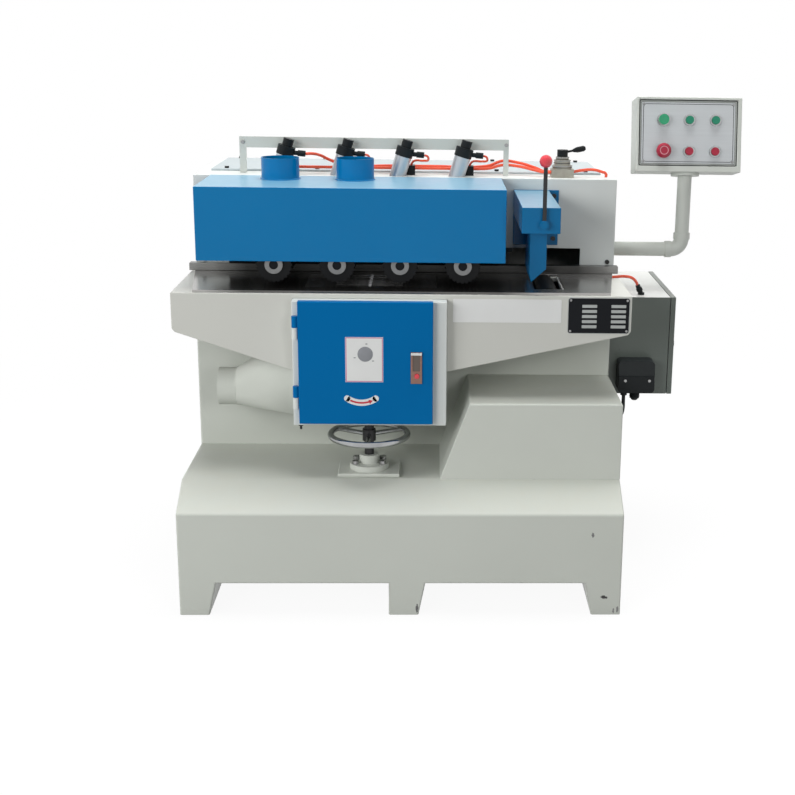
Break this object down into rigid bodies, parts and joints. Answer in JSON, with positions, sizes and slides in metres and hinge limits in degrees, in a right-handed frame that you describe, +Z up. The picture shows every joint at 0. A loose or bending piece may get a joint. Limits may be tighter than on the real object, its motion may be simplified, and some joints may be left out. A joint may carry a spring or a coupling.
{
  "type": "multi rip saw",
  "caption": "Floor-standing multi rip saw: steel table over a saw chamber, pressed feed rollers under a blue guard, kickback fingers, hand-lifted arbor and a control box on a pipe arm.",
  "frame": {"origin": "centre of the machine's outer box at floor level", "axes": "+X along the feed towards the infeed and the control box, +Y from the operator's front to the back, +Z up"},
  "size_m": [1.487, 0.905, 1.258],
  "materials": {
    "body_paint": "semi-gloss",
    "blue_paint": "gloss",
    "ground_steel": "ground",
    "dark_steel": "oiled",
    "barrel_alu": "anodised",
    "blade_steel": "ground",
    "chrome": "polished",
    "iron": "cast",
    "motor_paint": "painted",
    "belt_rubber": "matte",
    "black_plastic": "matte",
    "red_tube": "gloss",
    "red_plastic": "gloss",
    "green_plastic": "gloss",
    "panel_face": "brushed"
  },
  "bodies": {
    "frame": {"base_frame": "body_paint", "motor_cover": "body_paint", "table_body": "body_paint", "feed_casing": "body_paint", "casing_lid": "body_paint", "cylinder_rail": "body_paint", "saw_chamber": "body_paint", "dust_chute": "body_paint", "lift_bearing": "body_paint", "panel_arm": "body_paint", "control_box": "body_paint", "cabinet": "body_paint", "roller_guard": "blue_paint", "kickback_housing": "blue_paint", "table_plate": "ground_steel", "throat_plate": "ground_steel", "fence_rail": "ground_steel", "guide_posts": "ground_steel", "switchgear": "dark_steel", "fasteners": "dark_steel", "cylinder_barrels": "barrel_alu", "valve_body": "barrel_alu", "feed_motor": "motor_paint", "cylinder_caps": "black_plastic", "connector_box": "black_plastic", "air_lines": "red_tube", "power_lamp": "green_plastic", "control_panel": "panel_face"},
    "press_1": {"press_slide_1": "dark_steel"},
    "press_2": {"press_slide_2": "dark_steel"},
    "press_3": {"press_slide_3": "dark_steel"},
    "press_4": {"press_slide_4": "dark_steel"},
    "roller_1": {"press_roller_1": "ground_steel"},
    "roller_2": {"press_roller_2": "ground_steel"},
    "roller_3": {"press_roller_3": "ground_steel"},
    "roller_4": {"press_roller_4": "ground_steel"},
    "bed_roller": {"bed_roller": "ground_steel"},
    "kickback": {"kickback_fingers": "blue_paint", "kickback_lever": "dark_steel", "lever_knob": "red_plastic"},
    "valve_handle": {"valve_lever": "black_plastic"},
    "chamber_door": {"chamber_door": "blue_paint", "latch_body": "barrel_alu"},
    "latch_button": {"latch_button": "red_plastic"},
    "lifting_wheel": {"handwheel": "chrome", "lift_screw": "dark_steel"},
    "carriage": {"spindle_carriage": "iron", "spindle_housing": "iron", "main_motor": "motor_paint", "drive_belts": "belt_rubber"},
    "spindle": {"arbor": "ground_steel", "saw_blades": "blade_steel", "arbor_pulley": "iron"},
    "motor_rotor": {"motor_pulley": "iron"},
    "cabinet_door": {"cabinet_door": "body_paint"},
    "e_stop": {"e_stop": "red_plastic"},
    "start_button_1": {"start_button_1": "green_plastic"},
    "start_button_2": {"start_button_2": "green_plastic"},
    "stop_button_1": {"stop_button_1": "red_plastic"},
    "stop_button_2": {"stop_button_2": "red_plastic"}
  },
  "joints": [
    {"name": "press_1_lift", "type": "slide", "parent": "frame", "child": "press_1", "axis": [0.2874, 0, 0.9578], "range_m": [0, 0.045]},
    {"name": "press_2_lift", "type": "slide", "parent": "frame", "child": "press_2", "axis": [0.2874, 0, 0.9578], "range_m": [0, 0.045]},
    {"name": "press_3_lift", "type": "slide", "parent": "frame", "child": "press_3", "axis": [0.2874, 0, 0.9578], "range_m": [0, 0.045]},
    {"name": "press_4_lift", "type": "slide", "parent": "frame", "child": "press_4", "axis": [0.2874, 0, 0.9578], "range_m": [0, 0.045]},
    {"name": "roller_1_spin", "type": "hinge", "parent": "press_1", "child": "roller_1", "pos_m": [-0.4935, -0.1525, 0.852], "axis": [0, 1, 0], "continuous": true},
    {"name": "roller_2_spin", "type": "hinge", "parent": "press_2", "child": "roller_2", "pos_m": [-0.336, -0.1525, 0.852], "axis": [0, 1, 0], "continuous": true},
    {"name": "roller_3_spin", "type": "hinge", "parent": "press_3", "child": "roller_3", "pos_m": [-0.1785, -0.1525, 0.852], "axis": [0, 1, 0], "continuous": true},
    {"name": "roller_4_spin", "type": "hinge", "parent": "press_4", "child": "roller_4", "pos_m": [-0.021, -0.1525, 0.852], "axis": [0, 1, 0], "continuous": true},
    {"name": "bed_roller_spin", "type": "hinge", "parent": "frame", "child": "bed_roller", "pos_m": [0.1995, -0.1345, 0.769], "axis": [0, 1, 0], "continuous": true},
    {"name": "kickback_lift", "type": "hinge", "parent": "frame", "child": "kickback", "pos_m": [0.1715, -0.1525, 0.975], "axis": [0, 1, 0], "range_deg": [0, 27]},
    {"name": "valve_turn", "type": "hinge", "parent": "frame", "child": "valve_handle", "pos_m": [0.2505, 0.0645, 1.1], "axis": [0, 0, 1], "range_deg": [-45, 45]},
    {"name": "chamber_door_swing", "type": "hinge", "parent": "frame", "child": "chamber_door", "pos_m": [-0.4345, -0.3435, 0.64], "axis": [0, 0, -1], "range_deg": [0, 110]},
    {"name": "latch_press", "type": "slide", "parent": "chamber_door", "child": "latch_button", "axis": [0, 1, 0], "range_m": [0, 0.003], "stiffness_N_per_m": 900},
    {"name": "handwheel_turn", "type": "hinge", "parent": "frame", "child": "lifting_wheel", "pos_m": [-0.2565, -0.2805, 0.424], "axis": [0, 0, 1], "range_deg": [-1081, 1441]},
    {"name": "carriage_lift", "type": "slide", "parent": "frame", "child": "carriage", "axis": [0, 0, 1], "range_m": [-0.015, 0.02]},
    {"name": "arbor_spin", "type": "hinge", "parent": "carriage", "child": "spindle", "pos_m": [-0.2565, -0.0525, 0.684], "axis": [0, 1, 0], "continuous": true},
    {"name": "motor_spin", "type": "hinge", "parent": "carriage", "child": "motor_rotor", "pos_m": [0.1795, 0.0475, 0.385], "axis": [0, 1, 0], "continuous": true},
    {"name": "cabinet_door_swing", "type": "hinge", "parent": "frame", "child": "cabinet_door", "pos_m": [0.5541, 0.4235, 0.593], "axis": [0, 0, 1], "range_deg": [0, 110]},
    {"name": "e_stop_press", "type": "slide", "parent": "frame", "child": "e_stop", "axis": [0, 0.9848, -0.1736], "range_m": [0, 0.005], "stiffness_N_per_m": 1500},
    {"name": "start_button_1_press", "type": "slide", "parent": "frame", "child": "start_button_1", "axis": [0, 0.9848, -0.1736], "range_m": [0, 0.004], "stiffness_N_per_m": 800},
    {"name": "start_button_2_press", "type": "slide", "parent": "frame", "child": "start_button_2", "axis": [0, 0.9848, -0.1736], "range_m": [0, 0.004], "stiffness_N_per_m": 800},
    {"name": "stop_button_1_press", "type": "slide", "parent": "frame", "child": "stop_button_1", "axis": [0, 0.9848, -0.1736], "range_m": [0, 0.004], "stiffness_N_per_m": 800},
    {"name": "stop_button_2_press", "type": "slide", "parent": "frame", "child": "stop_button_2", "axis": [0, 0.9848, -0.1736], "range_m": [0, 0.004], "stiffness_N_per_m": 800}
  ],
  "couplings": [
    {"joint": "handwheel_turn", "follows": "carriage_lift", "rad_per_m": 1256.6},
    {"joint": "motor_spin", "follows": "arbor_spin", "ratio": 0.8},
    {"joint": "roller_2_spin", "follows": "roller_1_spin", "ratio": 1},
    {"joint": "roller_3_spin", "follows": "roller_1_spin", "ratio": 1},
    {"joint": "roller_4_spin", "follows": "roller_1_spin", "ratio": 1}
  ]
}
